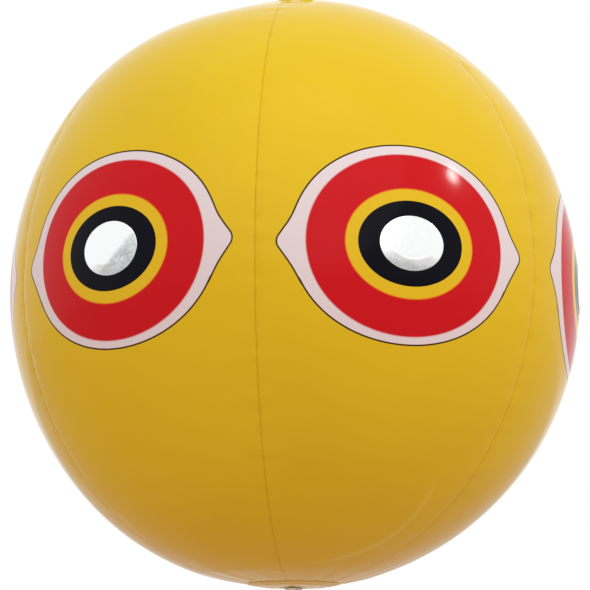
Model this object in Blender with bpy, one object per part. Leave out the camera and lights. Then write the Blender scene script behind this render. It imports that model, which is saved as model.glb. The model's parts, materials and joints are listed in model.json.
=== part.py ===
"""Bird scare balloon: an inflated vinyl ball of six welded gores, each with a printed eye and a foil pupil.

Lengths are in metres and +Z is up. The origin is the centre of the eyelet that the balloon hangs by, and one
seam faces -Y. Longitudes are counted from -Y, positive towards +X.
"""

import math

import bmesh
import bpy
from mathutils import Matrix, Vector

# Clearances: what is welded, glued or seated keeps the seat gap, and what slides keeps the running gap.
SEAT_GAP = 0.0003
RUNNING_GAP = 0.0003
CUT_OVERRUN = 0.002

# The inflated ball, which is a little taller than it is wide
EQUATOR_RADIUS = 0.200
POLAR_RADIUS = 0.2071
GORE_COUNT = 6
COLUMNS_PER_GORE = 8
BANDS_BETWEEN_DISCS = 22
FILM = 0.0003
SEAM_FIN_DEPTH = 0.0045
SEAM_VALLEY = 0.0010
SEAM_CREASE_WIDTH = 0.007

# Round discs that close the ball at its poles, welded over the ends of the gores
DISC_RADIUS = 0.032
DISC_WELD_WIDTH = 0.008
DISC_FILM = 0.0004

# Foil pupils, oval stickers on the equator in the middle of each gore
PUPIL_HALF_WIDTH = 0.0225
PUPIL_HALF_HEIGHT = 0.0181
PUPIL_FOIL = 0.0002
PUPIL_SIDES = 40

# Hang tab: a round patch on the top disc, and an upright tab that folds at its weld line
PATCH_RADIUS = 0.016
PATCH_THICKNESS = 0.0008
TAB_THICKNESS = 0.0008
TAB_BASE_WIDTH = 0.027
TAB_HEAD_RADIUS = 0.011
TAB_EYELET_HEIGHT = 0.018
TAB_ARC_STEPS = 18
TAB_FOLD_STEPS = 3
# How much of half the tab's thickness the round of its lower edge takes
TAB_FOLD_ROUND_SHARE = 0.98

# Two-piece eyelet: a flanged barrel, and a washer that the barrel's end is rolled over
EYELET_BORE_RADIUS = 0.004
EYELET_WALL = 0.0009
EYELET_FLANGE_RADIUS = 0.0072
EYELET_FLANGE_THICKNESS = 0.0012
EYELET_EDGE_ROUND = 0.0004
WASHER_THICKNESS = 0.0008
EYELET_ROLL_WIDTH = 0.0010
EYELET_ROLL_THICKNESS = 0.0009
EYELET_SIDES = 32
ROUND_STEPS = 2

# Inflation valve in the bottom disc, pushed in: flange, rolling web, stem, plug on its strap, and check flap
VALVE_SIDES = 24
DISC_HOLE_RADIUS = 0.009
FLANGE_RADIUS = 0.015
FLANGE_LIP = 0.001
FLANGE_THICKNESS = 0.001
WEB_THICKNESS = 0.0005
WEB_STEPS = 5
STEM_INSET = 0.0003
STEM_LENGTH = 0.011
STEM_RADIUS = 0.005
STEM_BORE_RADIUS = 0.0035
STEM_COLLAR_WIDTH = 0.001
STEM_COLLAR_HEIGHT = 0.0012
STEM_FOOT_HEIGHT = 0.0007
STEM_MOUTH_CHAMFER = 0.0003
PLUG_CAP_RADIUS = 0.006
PLUG_CAP_THICKNESS = 0.0014
PLUG_CAP_ROUND = 0.0003
PLUG_SHANK_LENGTH = 0.005
PLUG_TIP_CHAMFER = 0.0007
PLUG_LIP_LENGTH = 0.004
PLUG_LIP_WIDTH = 0.005
PLUG_LIP_THICKNESS = 0.0008
STRAP_THICKNESS = 0.0004
STRAP_WIDTH = 0.003
STRAP_REACH = 0.013
STRAP_BEND_RADIUS = 0.0005
STRAP_BEND_STEPS = 4
FLAP_RADIUS = 0.0045
FLAP_THICKNESS = 0.0006
FLAP_HINGE_WIDTH = 0.004
FLAP_ARC_STEPS = 20

# Worked out from the sizes above
GORE_ANGLE = math.tau / GORE_COUNT
CREASE_ANGLE = SEAM_CREASE_WIDTH / EQUATOR_RADIUS
GORE_END_RADIUS = DISC_RADIUS - DISC_WELD_WIDTH
DISC_RISE = SEAT_GAP + DISC_FILM
PATCH_RISE = DISC_RISE + SEAT_GAP + PATCH_THICKNESS
FOLD_RISE = PATCH_RISE + SEAT_GAP + TAB_THICKNESS / 2
PUPIL_RISE = SEAT_GAP + PUPIL_FOIL
FLANGE_RISE = DISC_RISE - DISC_FILM - SEAT_GAP
FLANGE_HOLE_RADIUS = DISC_HOLE_RADIUS - FLANGE_LIP
FOLD_LINE = Vector((0, 0, -TAB_EYELET_HEIGHT))
BALL_CENTRE = FOLD_LINE - Vector((0, 0, FOLD_RISE + POLAR_RADIUS))
VALVE_MOUTH = BALL_CENTRE - Vector((0, 0, POLAR_RADIUS + DISC_RISE))
STEM_END = STEM_INSET + STEM_LENGTH

# Radii at which the pieces round each pole bend, so that what lies on another piece has the same facets
TOP_STATIONS = (DISC_RADIUS, GORE_END_RADIUS, PATCH_RADIUS, 0)
BOTTOM_STATIONS = (DISC_RADIUS, GORE_END_RADIUS, FLANGE_RADIUS, DISC_HOLE_RADIUS, FLANGE_HOLE_RADIUS)


# Materials


def plastic(name, colour, roughness, metallic=0.0):
    material = bpy.data.materials.new(name)
    material.use_nodes = True
    shader = material.node_tree.nodes["Principled BSDF"]
    shader.inputs["Base Color"].default_value = (*colour, 1)
    shader.inputs["Roughness"].default_value = roughness
    shader.inputs["Metallic"].default_value = metallic
    return material


# Objects


def empty(name, location, parent=None):
    point = bpy.data.objects.new(name, None)
    bpy.context.collection.objects.link(point)
    point.parent = parent
    point.location = location
    return point


def new_object(name, mesh, material, parent=None, location=(0, 0, 0), turn=0.0):
    piece = bpy.data.objects.new(name, mesh)
    bpy.context.collection.objects.link(piece)
    piece.parent = parent
    piece.location = location
    piece.rotation_euler.z = turn
    if material:
        mesh.materials.clear()
        mesh.materials.append(material)
    return piece


def mesh_from(bm, name, sharp_angle=math.radians(35)):
    mesh = bpy.data.meshes.new(name)
    bm.to_mesh(mesh)
    bm.free()
    mesh.shade_smooth()
    mesh.set_sharp_from_angle(angle=sharp_angle)
    return mesh


def thicken(piece, thickness, offset):
    wall = piece.modifiers.new("Wall", "SOLIDIFY")
    wall.thickness = thickness
    wall.offset = offset
    wall.use_even_offset = True
    wall.use_rim = True


def add_boolean(piece, tool, operation):
    tool.display_type = "WIRE"
    tool.hide_render = True
    cut = piece.modifiers.new("Cut", "BOOLEAN")
    cut.object = tool
    cut.operation = operation
    cut.solver = "EXACT"


# The ball's surface


def latitude_at(radius):
    """The latitude, on the surface's own parameter, at which the ball is that wide."""
    return math.acos(radius / EQUATOR_RADIUS)


def gore_longitudes():
    """Even columns across the gore that faces -Y, and one more where each seam's dip starts."""
    even = [GORE_ANGLE * (column / COLUMNS_PER_GORE - 0.5) for column in range(COLUMNS_PER_GORE + 1)]
    return sorted([*even, even[0] + CREASE_ANGLE, even[-1] - CREASE_ANGLE])


def valley_factor(longitude):
    """The seams are drawn in a little, so the ball's level sections dip there."""
    on_a_seam = math.isclose(abs(longitude), GORE_ANGLE / 2)
    return 1 - SEAM_VALLEY / EQUATOR_RADIUS if on_a_seam else 1


def ball_point(longitude, latitude, rise=0.0):
    """A point of the gore that faces -Y, raised along the surface's normal."""
    level = math.cos(latitude) * valley_factor(longitude)
    normal = Vector((POLAR_RADIUS * math.cos(latitude), EQUATOR_RADIUS * math.sin(latitude))).normalized()
    radius = EQUATOR_RADIUS * level + rise * normal.x
    height = POLAR_RADIUS * math.sin(latitude) + rise * normal.y
    return Vector((radius * math.sin(longitude), -radius * math.cos(longitude), height))


def gore_latitudes():
    """The bands between the discs are even, and the ends follow the stations of the pole pieces."""
    rim = latitude_at(DISC_RADIUS)
    even = [rim * (2 * band / BANDS_BETWEEN_DISCS - 1) for band in range(BANDS_BETWEEN_DISCS + 1)]
    top = {latitude_at(r) for r in TOP_STATIONS if GORE_END_RADIUS <= r < DISC_RADIUS}
    bottom = {-latitude_at(r) for r in BOTTOM_STATIONS if GORE_END_RADIUS <= r < DISC_RADIUS}
    return sorted({*even, *top, *bottom})


def grid_skin(columns, rows, place):
    """An open skin whose point in column c and row r is place(c, r), facing outwards."""
    bm = bmesh.new()
    bmesh.ops.create_grid(bm, x_segments=columns, y_segments=rows, size=1)
    for vertex in bm.verts:
        column = round((vertex.co.x + 1) / 2 * columns)
        row = round((vertex.co.y + 1) / 2 * rows)
        vertex.co = place(column, row)
    return bm


# Gores


def gore_mesh():
    """The outer skin of one gore. Both edges turn in as the fins that are welded to its neighbours."""
    latitudes = gore_latitudes()
    longitudes = gore_longitudes()
    # Each seam's longitude comes twice, first or last for the fin's inner edge
    columns = [longitudes[0], *longitudes, longitudes[-1]]
    last = len(columns) - 1

    def place(column, row):
        longitude = columns[column]
        point = ball_point(longitude, latitudes[row], -SEAM_FIN_DEPTH if column in (0, last) else 0.0)
        if column in (0, 1, last - 1, last):
            across = Vector((math.cos(longitude), math.sin(longitude), 0))
            point -= math.copysign(SEAT_GAP / 2, longitude) * across
        return point

    return mesh_from(grid_skin(last, len(latitudes) - 1, place), "gore")


def add_gores(ball, vinyl):
    mesh = gore_mesh()
    for number in range(GORE_COUNT):
        turn = (number + 0.5) * GORE_ANGLE
        gore = new_object(f"gore_panel_{number + 1}", mesh, vinyl, ball, turn=turn)
        thicken(gore, FILM, -1)


# Foil pupils


def pupil_sheet_mesh():
    latitudes = gore_latitudes()
    longitudes = gore_longitudes()

    def place(column, row):
        return ball_point(longitudes[column], latitudes[row], PUPIL_RISE)

    return mesh_from(grid_skin(len(longitudes) - 1, len(latitudes) - 1, place), "pupil_sheet")


def pupil_tool_mesh():
    """An oval punch that faces -Y and reaches through the sheet at the front only."""
    bm = bmesh.new()
    radius = PUPIL_HALF_WIDTH
    bmesh.ops.create_cone(
        bm, cap_ends=True, segments=PUPIL_SIDES, radius1=radius, radius2=radius, depth=2 * radius
    )
    flatten = Matrix.Diagonal((1, PUPIL_HALF_HEIGHT / PUPIL_HALF_WIDTH, 1, 1))
    face_front = Matrix.Rotation(math.radians(90), 4, "X")
    out = Matrix.Translation((0, -EQUATOR_RADIUS, 0))
    bmesh.ops.transform(bm, matrix=out @ face_front @ flatten, verts=bm.verts)
    return mesh_from(bm, "pupil_tool")


def add_pupils(ball, foil):
    sheet = pupil_sheet_mesh()
    punch = pupil_tool_mesh()
    for number in range(GORE_COUNT):
        turn = (number + 0.5) * GORE_ANGLE
        tool = new_object(f"pupil_tool_{number + 1}", punch, None, ball, turn=turn)
        pupil = new_object(f"foil_pupil_{number + 1}", sheet, foil, ball, turn=turn)
        thicken(pupil, PUPIL_FOIL, -1)
        add_boolean(pupil, tool, "INTERSECT")


# Round pieces at the poles


def cap_skin(stations, outer, inner, rise, side):
    """A skin round one pole between two radii, closed where the inner one is zero. side is 1 for the top."""
    radii = sorted({r for r in stations if inner <= r <= outer}, reverse=True)
    longitudes = gore_longitudes()
    columns = len(longitudes) - 1

    def place(column, row):
        gore, part = divmod(column, columns)
        point = ball_point(longitudes[part], latitude_at(radii[row]), rise)
        point.rotate(Matrix.Rotation((gore + 0.5) * GORE_ANGLE, 3, "Z"))
        return Vector((point.x, point.y, side * point.z))

    bm = grid_skin(GORE_COUNT * columns, len(radii) - 1, place)
    bmesh.ops.remove_doubles(bm, verts=bm.verts, dist=SEAT_GAP / 10)
    if side < 0:
        bmesh.ops.reverse_faces(bm, faces=bm.faces)
    return bm


def add_cap(name, ball, material, sizes, thickness, side):
    stations, outer, inner, rise = sizes
    mesh = mesh_from(cap_skin(stations, outer, inner, rise, side), name)
    cap = new_object(name, mesh, material, ball)
    thicken(cap, thickness, -1)


def add_pole_pieces(ball, vinyl, clear):
    add_cap("top_disc", ball, vinyl, (TOP_STATIONS, DISC_RADIUS, 0, DISC_RISE), DISC_FILM, 1)
    add_cap("hang_tab_patch", ball, vinyl, (TOP_STATIONS, PATCH_RADIUS, 0, PATCH_RISE), PATCH_THICKNESS, 1)
    disc_sizes = (BOTTOM_STATIONS, DISC_RADIUS, DISC_HOLE_RADIUS, DISC_RISE)
    add_cap("bottom_disc", ball, vinyl, disc_sizes, DISC_FILM, -1)
    flange_sizes = (BOTTOM_STATIONS, FLANGE_RADIUS, FLANGE_HOLE_RADIUS, FLANGE_RISE)
    add_cap("valve_flange", ball, clear, flange_sizes, FLANGE_THICKNESS, -1)


# Turned and extruded pieces


def turned_mesh(name, profile, sides):
    """A profile of (radius, height) points turned about Z. It is a closed loop, or runs from axis to axis."""
    bm = bmesh.new()
    verts = [bm.verts.new((radius, 0, height)) for radius, height in profile]
    edges = [bm.edges.new(pair) for pair in zip(verts, verts[1:])]
    if profile[0][0] > 0:
        edges.append(bm.edges.new((verts[-1], verts[0])))
    bmesh.ops.spin(
        bm, geom=verts + edges, cent=(0, 0, 0), axis=(0, 0, 1), angle=math.tau, steps=sides, use_merge=True
    )
    bmesh.ops.remove_doubles(bm, verts=bm.verts, dist=SEAT_GAP / 10)
    bmesh.ops.recalc_face_normals(bm, faces=bm.faces)
    return mesh_from(bm, name)


def extruded_mesh(name, outline, thickness):
    """A flat outline of (x, y) points made into a plate, centred on z = 0."""
    bm = bmesh.new()
    face = bm.faces.new([bm.verts.new((x, y, -thickness / 2)) for x, y in outline])
    raised = bmesh.ops.extrude_face_region(bm, geom=[face])
    top = [part for part in raised["geom"] if isinstance(part, bmesh.types.BMVert)]
    bmesh.ops.translate(bm, verts=top, vec=(0, 0, thickness))
    bmesh.ops.recalc_face_normals(bm, faces=bm.faces)
    return mesh_from(bm, name)


def arc(centre, radius, start, end, steps):
    """Points on an arc, both ends included. Angles are in degrees, counted from the first axis."""
    angles = [math.radians(start + (end - start) * step / steps) for step in range(steps + 1)]
    return [(centre[0] + radius * math.cos(a), centre[1] + radius * math.sin(a)) for a in angles]


# Hang tab and eyelet


def tab_outline():
    """The tab from the front: a round head about the eyelet, and a foot just under the fold line."""
    foot = -TAB_EYELET_HEIGHT - TAB_THICKNESS / 2
    half = TAB_BASE_WIDTH / 2
    # The straight sides touch the head where their slope meets it
    reach = math.hypot(half, foot)
    lean = math.degrees(math.asin(TAB_HEAD_RADIUS / reach))
    base_angle = math.degrees(math.atan2(foot, half))
    tangent = base_angle - lean + 90
    return [(-half, foot), (half, foot)] + arc((0, 0), TAB_HEAD_RADIUS, tangent, 180 - tangent, TAB_ARC_STEPS)


def tab_mesh():
    bm = bmesh.new()
    bm.from_mesh(extruded_mesh("tab_blank", tab_outline(), TAB_THICKNESS))
    lowest = min(v.co.y for v in bm.verts)
    below = [e for e in bm.edges if all(v.co.y == lowest for v in e.verts)]
    foot = [e for e in below if e.verts[0].co.z == e.verts[1].co.z]
    bmesh.ops.bevel(
        bm,
        geom=foot,
        offset=TAB_FOLD_ROUND_SHARE * TAB_THICKNESS / 2,
        segments=TAB_FOLD_STEPS,
        profile=0.5,
        affect="EDGES",
        material=-1,
    )
    bmesh.ops.rotate(bm, verts=bm.verts, cent=(0, 0, 0), matrix=Matrix.Rotation(math.radians(90), 3, "X"))
    return mesh_from(bm, "hang_tab")


def add_hang_tab(vinyl, brass):
    tab = new_object("hang_tab", tab_mesh(), vinyl)
    bm = bmesh.new()
    hole_radius = EYELET_BORE_RADIUS + EYELET_WALL + SEAT_GAP
    bmesh.ops.create_cone(
        bm,
        cap_ends=True,
        segments=EYELET_SIDES,
        radius1=hole_radius,
        radius2=hole_radius,
        depth=TAB_THICKNESS + 2 * CUT_OVERRUN,
    )
    bmesh.ops.rotate(bm, verts=bm.verts, cent=(0, 0, 0), matrix=Matrix.Rotation(math.radians(90), 3, "X"))
    hole = new_object("tab_hole_tool", mesh_from(bm, "tab_hole_tool"), None)
    add_boolean(tab, hole, "DIFFERENCE")

    eyelet = new_object("eyelet", turned_mesh("eyelet", eyelet_profile(), EYELET_SIDES), brass)
    washer = new_object("eyelet_washer", turned_mesh("eyelet_washer", washer_profile(), EYELET_SIDES), brass)
    for piece in (eyelet, washer):
        piece.rotation_euler.x = math.radians(90)


def eyelet_profile():
    """Height runs along the bore towards the front. The barrel's back end is rolled over the washer."""
    barrel = EYELET_BORE_RADIUS + EYELET_WALL
    under_flange = TAB_THICKNESS / 2 + SEAT_GAP
    front = under_flange + EYELET_FLANGE_THICKNESS
    under_roll = -(TAB_THICKNESS / 2 + SEAT_GAP + WASHER_THICKNESS + SEAT_GAP)
    back = under_roll - EYELET_ROLL_THICKNESS
    roll = barrel + EYELET_ROLL_WIDTH
    mouth = EYELET_WALL
    rim = EYELET_EDGE_ROUND
    profile = arc((EYELET_BORE_RADIUS + mouth, front - mouth), mouth, 180, 90, ROUND_STEPS)
    profile += arc((EYELET_FLANGE_RADIUS - rim, front - rim), rim, 90, 0, ROUND_STEPS)
    profile += [(EYELET_FLANGE_RADIUS, under_flange), (barrel, under_flange)]
    profile += [(barrel, under_roll), (roll, under_roll)]
    profile += arc((roll - rim, back + rim), rim, 0, -90, ROUND_STEPS)
    profile += arc((EYELET_BORE_RADIUS + rim, back + rim), rim, -90, -180, ROUND_STEPS)
    return profile


def washer_profile():
    inner = EYELET_BORE_RADIUS + EYELET_WALL + SEAT_GAP
    top = -(TAB_THICKNESS / 2 + SEAT_GAP)
    back = top - WASHER_THICKNESS
    rim = EYELET_EDGE_ROUND
    profile = [(inner, back), (inner, top), (EYELET_FLANGE_RADIUS, top)]
    return profile + arc((EYELET_FLANGE_RADIUS - rim, back + rim), rim, 0, -90, ROUND_STEPS)


# Valve: heights run inwards from the bottom disc's outer face


def web_profile():
    """The web that rolls inside out as the stem is pulled: steep at the stem, flaring out to the flange."""
    start = DISC_FILM + SEAT_GAP + FLANGE_THICKNESS / 2
    end = STEM_END - STEM_FOOT_HEIGHT - SEAT_GAP
    wide = FLANGE_HOLE_RADIUS - SEAT_GAP - WEB_THICKNESS / 2
    narrow = STEM_RADIUS + SEAT_GAP + WEB_THICKNESS / 2
    middle = []
    for step in range(WEB_STEPS + 1):
        share = step / WEB_STEPS
        middle.append((narrow + (wide - narrow) * (1 - share) ** 2, start + (end - start) * share))
    outside = [(radius + WEB_THICKNESS / 2, height) for radius, height in middle]
    inside = [(radius - WEB_THICKNESS / 2, height) for radius, height in middle]
    return outside + inside[::-1]


def stem_profile():
    collar = STEM_RADIUS + STEM_COLLAR_WIDTH
    foot = STEM_RADIUS + SEAT_GAP + WEB_THICKNESS
    chamfer = STEM_MOUTH_CHAMFER
    return [
        (STEM_BORE_RADIUS + chamfer, STEM_INSET),
        (collar, STEM_INSET),
        (collar, STEM_INSET + STEM_COLLAR_HEIGHT),
        (STEM_RADIUS, STEM_INSET + STEM_COLLAR_HEIGHT),
        (STEM_RADIUS, STEM_END - STEM_FOOT_HEIGHT),
        (foot, STEM_END - STEM_FOOT_HEIGHT),
        (foot, STEM_END),
        (STEM_BORE_RADIUS, STEM_END),
        (STEM_BORE_RADIUS, STEM_INSET + chamfer),
    ]


def plug_profile():
    seat = STEM_INSET - SEAT_GAP
    face = seat - PLUG_CAP_THICKNESS
    tip = seat + PLUG_SHANK_LENGTH
    shank = STEM_BORE_RADIUS - RUNNING_GAP
    rim = PLUG_CAP_ROUND
    edge = arc((PLUG_CAP_RADIUS - rim, face + rim), rim, -90, 0, ROUND_STEPS)
    shank_points = [(PLUG_CAP_RADIUS, seat), (shank, seat), (shank, tip - PLUG_TIP_CHAMFER)]
    return [(0, face)] + edge + shank_points + [(shank - PLUG_TIP_CHAMFER, tip), (0, tip)]


def add_plug(mouth, clear):
    plug = new_object("valve_plug", turned_mesh("valve_plug", plug_profile(), VALVE_SIDES), clear, mouth)
    # The lip that a finger lifts the plug by reaches out from the cap, level with its outer face's round
    outer = PLUG_CAP_RADIUS + PLUG_LIP_LENGTH
    round_radius = PLUG_LIP_WIDTH / 2
    inner = PLUG_CAP_RADIUS / 2
    tip = arc((round_radius - outer, 0), round_radius, 90, 270, TAB_ARC_STEPS // 2)
    outline = [(-inner, round_radius), *tip, (-inner, -round_radius)]
    face = STEM_INSET - SEAT_GAP - PLUG_CAP_THICKNESS
    middle = face + PLUG_CAP_ROUND + PLUG_LIP_THICKNESS / 2
    lip_mesh = extruded_mesh("plug_lip_tool", outline, PLUG_LIP_THICKNESS)
    lip = new_object("plug_lip_tool", lip_mesh, None, mouth, (0, 0, middle))
    add_boolean(plug, lip, "UNION")


def strap_path():
    """The strap's middle line: out of the stem's collar, past the disc, out, round and back to the plug."""
    bend = STRAP_BEND_RADIUS
    collar = STEM_RADIUS + STEM_COLLAR_WIDTH
    root = STEM_INSET + STEM_COLLAR_HEIGHT / 2
    riser = collar + SEAT_GAP + 2 * bend
    outer_leg = STEM_INSET - SEAT_GAP - PLUG_CAP_THICKNESS + STRAP_THICKNESS / 2
    inner_leg = outer_leg + STRAP_THICKNESS + SEAT_GAP
    fold = (inner_leg - outer_leg) / 2
    tip = STRAP_REACH - STRAP_THICKNESS / 2 - fold
    path = [(collar + SEAT_GAP, root)]
    path += arc((riser - bend, root - bend), bend, 90, 0, STRAP_BEND_STEPS)
    path += arc((riser + bend, inner_leg + bend), bend, 180, 270, STRAP_BEND_STEPS)
    path += arc((tip, outer_leg + fold), fold, 90, -90, 2 * STRAP_BEND_STEPS)
    return path + [(PLUG_CAP_RADIUS + SEAT_GAP, outer_leg)]


def add_strap(mouth, clear):
    bm = bmesh.new()
    half = STRAP_WIDTH / 2
    verts = [bm.verts.new((x, -half, z)) for x, z in strap_path()]
    edges = [bm.edges.new(pair) for pair in zip(verts, verts[1:])]
    side = bmesh.ops.extrude_edge_only(bm, edges=edges)
    moved = [part for part in side["geom"] if isinstance(part, bmesh.types.BMVert)]
    bmesh.ops.translate(bm, verts=moved, vec=(0, STRAP_WIDTH, 0))
    strap = new_object("plug_strap", mesh_from(bm, "plug_strap"), clear, mouth)
    thicken(strap, STRAP_THICKNESS, 0)


def add_flap(mouth, clear):
    """A disc over the stem's inner end on a short tongue, whose end is the line it turns about."""
    pivot = empty("flap_pivot", (-STEM_RADIUS, 0, STEM_END + SEAT_GAP + FLAP_THICKNESS / 2), mouth)
    half = FLAP_HINGE_WIDTH / 2
    root = math.degrees(math.asin(half / FLAP_RADIUS))
    disc = arc((STEM_RADIUS, 0), FLAP_RADIUS, root - 180, 180 - root, FLAP_ARC_STEPS)
    outline = [(0, half), (0, -half)] + disc
    new_object("check_flap", extruded_mesh("check_flap", outline, FLAP_THICKNESS), clear, pivot)


def add_valve(ball, clear):
    """The valve's own +X, which its strap lies along, points to the back of the ball."""
    mouth = empty("valve_slide", VALVE_MOUTH - BALL_CENTRE, ball)
    mouth.rotation_euler.z = math.radians(90)
    new_object("valve_web", turned_mesh("valve_web", web_profile(), VALVE_SIDES), clear, mouth)
    new_object("valve_stem", turned_mesh("valve_stem", stem_profile(), VALVE_SIDES), clear, mouth)
    add_plug(mouth, clear)
    add_strap(mouth, clear)
    add_flap(mouth, clear)


def main():
    for old in list(bpy.data.objects):
        bpy.data.objects.remove(old, do_unlink=True)
    vinyl = plastic("yellow_vinyl", (0.80, 0.55, 0.02), 0.16)
    foil = plastic("silver_foil", (0.86, 0.87, 0.88), 0.18, metallic=1.0)
    clear = plastic("milky_vinyl", (0.85, 0.85, 0.80), 0.25)
    brass = plastic("brass", (0.79, 0.60, 0.26), 0.28, metallic=1.0)

    fold = empty("tab_fold", FOLD_LINE)
    ball = empty("ball_centre", BALL_CENTRE - FOLD_LINE, fold)
    add_gores(ball, vinyl)
    add_pupils(ball, foil)
    add_pole_pieces(ball, vinyl, clear)
    add_valve(ball, clear)
    add_hang_tab(vinyl, brass)


main()
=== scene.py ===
"""Visual model of a bird scare balloon, laid out as an add-on and run as a script.

Lengths are in metres. The origin is the centre of the eyelet that the balloon hangs by, +Z is up and one seam
of the ball faces -Y. Longitudes are counted from -Y, positive towards +X.
"""

import json
import math
from types import SimpleNamespace

import bmesh
import bpy
from bpy.props import FloatProperty, FloatVectorProperty, PointerProperty
from mathutils import Matrix, Vector, noise


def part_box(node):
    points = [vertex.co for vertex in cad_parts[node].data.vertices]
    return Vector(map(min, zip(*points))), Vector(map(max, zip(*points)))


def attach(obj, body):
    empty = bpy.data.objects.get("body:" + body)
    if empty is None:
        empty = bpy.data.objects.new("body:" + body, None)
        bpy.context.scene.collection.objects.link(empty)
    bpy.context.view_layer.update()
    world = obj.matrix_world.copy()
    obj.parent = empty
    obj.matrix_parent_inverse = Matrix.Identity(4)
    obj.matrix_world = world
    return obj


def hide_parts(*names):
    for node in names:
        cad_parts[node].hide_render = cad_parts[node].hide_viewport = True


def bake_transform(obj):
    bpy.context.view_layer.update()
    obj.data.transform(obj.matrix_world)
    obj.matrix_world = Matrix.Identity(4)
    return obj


bl_info = {
    "name": "Bird scare balloon",
    "version": (1, 0, 0),
    "blender": (4, 5, 0),
    "location": "View3D > Sidebar > Balloon",
    "description": "Builds an inflated bird scare balloon with printed eyes, foil pupils, hang tab and valve",
    "category": "Add Mesh",
}

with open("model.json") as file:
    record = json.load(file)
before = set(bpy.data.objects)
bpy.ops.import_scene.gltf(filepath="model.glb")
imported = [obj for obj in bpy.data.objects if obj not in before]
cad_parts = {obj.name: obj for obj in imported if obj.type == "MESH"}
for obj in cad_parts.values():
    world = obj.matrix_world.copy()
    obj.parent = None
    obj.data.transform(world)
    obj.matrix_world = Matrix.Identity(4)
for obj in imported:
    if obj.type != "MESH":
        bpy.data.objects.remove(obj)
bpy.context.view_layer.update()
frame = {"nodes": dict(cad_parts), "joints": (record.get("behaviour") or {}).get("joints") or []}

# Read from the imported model
GORE_COUNT = sum(name.startswith("gore_panel_") for name in frame["nodes"])
GORE_ANGLE = math.tau / GORE_COUNT
PUPIL_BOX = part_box("foil_pupil_1")
BALL_CENTRE = Vector((0, 0, (PUPIL_BOX[0].z + PUPIL_BOX[1].z) / 2))
FOLD = Vector(next(joint["pos_m"] for joint in frame["joints"] if joint["name"] == "tab_fold"))
FLAP_PIVOT = Vector(next(joint["pos_m"] for joint in frame["joints"] if joint["name"] == "flap_open"))
STEM_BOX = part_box("valve_stem")

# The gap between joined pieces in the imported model, and the smaller one under what is laid on the film here
GAP = 0.0003
SEAT = 0.00004


# Sizes and colours that a user would change


def named(kind, rows, **settings):
    """Properties of one kind, each with its identifier in plain words as its name."""
    properties = {}
    for row, (description, default) in rows.items():
        label = row.replace("_", " ").capitalize()
        properties[row] = kind(name=label, description=description, default=default, **settings)
    return properties


def lengths(**rows):
    return named(FloatProperty, rows, precision=5, unit="LENGTH")


def turns(**rows):
    """Angles, whose defaults are given here in degrees."""
    rows = {row: (description, math.radians(default)) for row, (description, default) in rows.items()}
    return named(FloatProperty, rows, unit="ROTATION")


def tones(**rows):
    return named(FloatVectorProperty, rows, size=3, min=0, max=1, subtype="COLOR")


class BallSizes(bpy.types.PropertyGroup):
    """The inflated ball and the film it is made of"""

    __annotations__ = lengths(
        equator_radius=("Half the ball's width", 0.200),
        polar_radius=("Half the ball's height between the discs", 0.2071),
        film=("Thickness of the gores' film", 0.0003),
        seam_gap=("Gap between two gores at their weld", 0.00003),
        seam_dip=("How far the seams are drawn in at the equator", 0.0007),
        seam_dip_reach=("Distance over which the dip fades", 0.0035),
        shoulder=("Radius at which the film turns in to the weld", 0.00018),
        fin_depth=("Width of the weld inside the ball", 0.0045),
        pucker_height=("Height of the small wrinkles across the seams", 0.00050),
        pucker_reach=("Distance from the seam over which they fade", 0.011),
        pucker_pitch=("Distance from one wrinkle to the next", 0.0090),
        wave_height=("Height of the film's slow waviness", 0.0006),
        wave_pitch=("Length of the film's slow waviness", 0.075),
        gather_height=("Height of the folds round the discs", 0.00075),
        gather_reach=("Distance from a disc over which they fade", 0.020),
        disc_radius=("Radius of the discs at the poles", 0.032),
        disc_weld=("Width of the ring where a disc is welded on the gores", 0.008),
        disc_rise=("How far a disc's outer face stands over the gores", 0.0007),
        disc_hole=("Radius of the valve's hole in the bottom disc", 0.009),
        patch_radius=("Radius of the hang tab's patch", 0.016),
        patch_rise=("How far the patch's outer face stands over the gores", 0.0018),
    )


class EyeSizes(bpy.types.PropertyGroup):
    """The printed eye, on the flat gore"""

    __annotations__ = lengths(
        corner_reach=("Distance from the pupil's middle to the eye's corners", 0.0895),
        corner_round=("Radius of the eye's corners", 0.0074),
        corner_root=("Where the corners grow out of the oval", 0.074),
        corner_blend=("How softly the oval runs into the corners", 0.004),
        white_width=("Half the width of the white oval", 0.0806),
        white_height=("Half the height of the white oval", 0.0669),
        white_lift=("How far the white oval sits above the pupil's middle", 0.0007),
        corner_lift=("How far the corners sit above the pupil's middle", -0.0010),
        outline=("Width of the dark line round the eye", 0.0011),
        red_width=("Half the width of the red oval", 0.0702),
        red_height=("Half the height of the red oval", 0.0602),
        gold_width=("Half the width of the gold oval", 0.04535),
        gold_height=("Half the height of the gold oval", 0.0364),
        fringe=("Width of the orange line where red ink meets gold", 0.0007),
        black_width=("Half the width of the black oval", 0.03668),
        black_height=("Half the height of the black oval", 0.02805),
        pupil_width=("Half the width of the foil pupil", 0.0223),
        pupil_height=("Half the height of the foil pupil", 0.0179),
        pupil_foil=("Thickness of the foil sticker", 0.00018),
        pupil_puff=("Height of the ridge that the foil is lifted to", 0.0011),
        crinkle_height=("Height of the foil's crinkles", 0.00030),
        crinkle_pitch=("Size of the foil's crinkles", 0.0062),
        ink_softness=("Width over which an ink fades at its edge", 0.00022),
        ink_waver=("How far the inks' edges waver", 0.00012),
    ) | turns(
        corner_slope=("Slope of the eye's outline beside its corners", 54),
    )


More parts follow.
